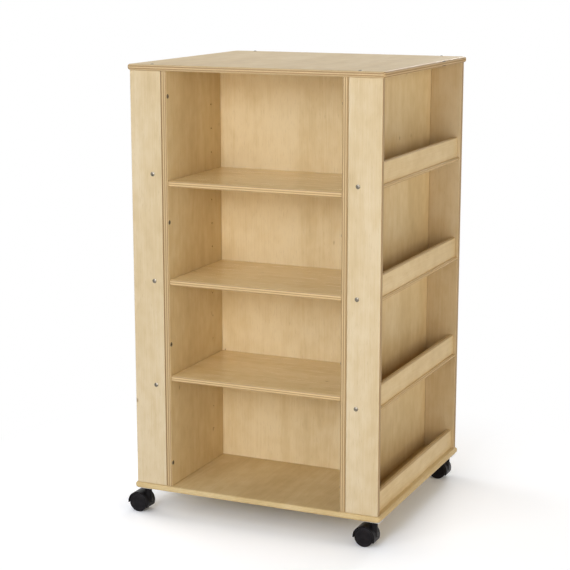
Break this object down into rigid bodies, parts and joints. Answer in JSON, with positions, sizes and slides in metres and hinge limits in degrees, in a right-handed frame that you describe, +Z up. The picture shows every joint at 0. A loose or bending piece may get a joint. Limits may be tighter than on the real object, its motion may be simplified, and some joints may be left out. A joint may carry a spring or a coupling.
{
  "type": "media storage tower",
  "caption": "Four-sided plywood media tower on swivel casters: shelf bays at front and rear, columns of lipped display ledges at both sides.",
  "frame": {"origin": "on the floor, in the middle of the object's bounding box; the casters trail to the left at rest, so the middle of the case is 12.6 mm to the right of it", "axes": "+Z up, -Y the front bay's side, +X the display ledges' side that the picture shows"},
  "size_m": [0.7082, 0.631, 1.1724],
  "materials": {
    "birch": "clear-lacquered birch plywood, satin, plies showing at rounded edges",
    "screw_steel": "dark oxidised steel",
    "zinc_plate": "zinc-plated pressed steel",
    "hood_plastic": "black moulded nylon, half gloss",
    "wheel_plastic": "black nylon, satin, worn at the tread"
  },
  "bodies": {
    "tower": {"top_panel": "birch", "base_panel": "birch", "left_partition": "birch", "right_partition": "birch", "centre_back": "birch", "front_left_stile": "birch", "rear_left_stile": "birch", "front_right_stile": "birch", "rear_right_stile": "birch", "front_lower_shelf": "birch", "front_middle_shelf": "birch", "front_upper_shelf": "birch", "rear_lower_shelf": "birch", "rear_middle_shelf": "birch", "rear_upper_shelf": "birch", "left_lower_ledge": "birch", "left_middle_ledge": "birch", "left_upper_ledge": "birch", "right_lower_ledge": "birch", "right_middle_ledge": "birch", "right_upper_ledge": "birch", "left_base_lip": "birch", "left_lower_lip": "birch", "left_middle_lip": "birch", "left_upper_lip": "birch", "right_base_lip": "birch", "right_lower_lip": "birch", "right_middle_lip": "birch", "right_upper_lip": "birch", "front_left_top_screw": "screw_steel", "rear_left_top_screw": "screw_steel", "front_right_top_screw": "screw_steel", "rear_right_top_screw": "screw_steel", "front_left_caster_plate": "zinc_plate", "rear_left_caster_plate": "zinc_plate", "front_right_caster_plate": "zinc_plate", "rear_right_caster_plate": "zinc_plate"},
    "front_left_caster_fork": {"front_left_caster_hood": "hood_plastic", "front_left_caster_axle": "screw_steel"},
    "front_left_caster_front_wheel": {"front_left_caster_front_wheel": "wheel_plastic"},
    "front_left_caster_rear_wheel": {"front_left_caster_rear_wheel": "wheel_plastic"},
    "rear_left_caster_fork": {"rear_left_caster_hood": "hood_plastic", "rear_left_caster_axle": "screw_steel"},
    "rear_left_caster_front_wheel": {"rear_left_caster_front_wheel": "wheel_plastic"},
    "rear_left_caster_rear_wheel": {"rear_left_caster_rear_wheel": "wheel_plastic"},
    "front_right_caster_fork": {"front_right_caster_hood": "hood_plastic", "front_right_caster_axle": "screw_steel"},
    "front_right_caster_front_wheel": {"front_right_caster_front_wheel": "wheel_plastic"},
    "front_right_caster_rear_wheel": {"front_right_caster_rear_wheel": "wheel_plastic"},
    "rear_right_caster_fork": {"rear_right_caster_hood": "hood_plastic", "rear_right_caster_axle": "screw_steel"},
    "rear_right_caster_front_wheel": {"rear_right_caster_front_wheel": "wheel_plastic"},
    "rear_right_caster_rear_wheel": {"rear_right_caster_rear_wheel": "wheel_plastic"}
  },
  "joints": [
    {"name": "front_left_caster_swivel", "type": "hinge", "parent": "tower", "child": "front_left_caster_fork", "pos_m": [-0.3044, -0.285, 0.06284], "axis": [0, 0, 1], "continuous": true},
    {"name": "front_left_caster_front_wheel_spin", "type": "hinge", "parent": "front_left_caster_fork", "child": "front_left_caster_front_wheel", "pos_m": [-0.3249, -0.285, 0.02484], "axis": [0, 1, 0], "continuous": true},
    {"name": "front_left_caster_rear_wheel_spin", "type": "hinge", "parent": "front_left_caster_fork", "child": "front_left_caster_rear_wheel", "pos_m": [-0.3249, -0.285, 0.02484], "axis": [0, 1, 0], "continuous": true},
    {"name": "rear_left_caster_swivel", "type": "hinge", "parent": "tower", "child": "rear_left_caster_fork", "pos_m": [-0.3044, 0.285, 0.06284], "axis": [0, 0, 1], "continuous": true},
    {"name": "rear_left_caster_front_wheel_spin", "type": "hinge", "parent": "rear_left_caster_fork", "child": "rear_left_caster_front_wheel", "pos_m": [-0.3249, 0.285, 0.02484], "axis": [0, 1, 0], "continuous": true},
    {"name": "rear_left_caster_rear_wheel_spin", "type": "hinge", "parent": "rear_left_caster_fork", "child": "rear_left_caster_rear_wheel", "pos_m": [-0.3249, 0.285, 0.02484], "axis": [0, 1, 0], "continuous": true},
    {"name": "front_right_caster_swivel", "type": "hinge", "parent": "tower", "child": "front_right_caster_fork", "pos_m": [0.3296, -0.285, 0.06284], "axis": [0, 0, 1], "continuous": true},
    {"name": "front_right_caster_front_wheel_spin", "type": "hinge", "parent": "front_right_caster_fork", "child": "front_right_caster_front_wheel", "pos_m": [0.3091, -0.285, 0.02484], "axis": [0, 1, 0], "continuous": true},
    {"name": "front_right_caster_rear_wheel_spin", "type": "hinge", "parent": "front_right_caster_fork", "child": "front_right_caster_rear_wheel", "pos_m": [0.3091, -0.285, 0.02484], "axis": [0, 1, 0], "continuous": true},
    {"name": "rear_right_caster_swivel", "type": "hinge", "parent": "tower", "child": "rear_right_caster_fork", "pos_m": [0.3296, 0.285, 0.06284], "axis": [0, 0, 1], "continuous": true},
    {"name": "rear_right_caster_front_wheel_spin", "type": "hinge", "parent": "rear_right_caster_fork", "child": "rear_right_caster_front_wheel", "pos_m": [0.3091, 0.285, 0.02484], "axis": [0, 1, 0], "continuous": true},
    {"name": "rear_right_caster_rear_wheel_spin", "type": "hinge", "parent": "rear_right_caster_fork", "child": "rear_right_caster_rear_wheel", "pos_m": [0.3091, 0.285, 0.02484], "axis": [0, 1, 0], "continuous": true}
  ]
}
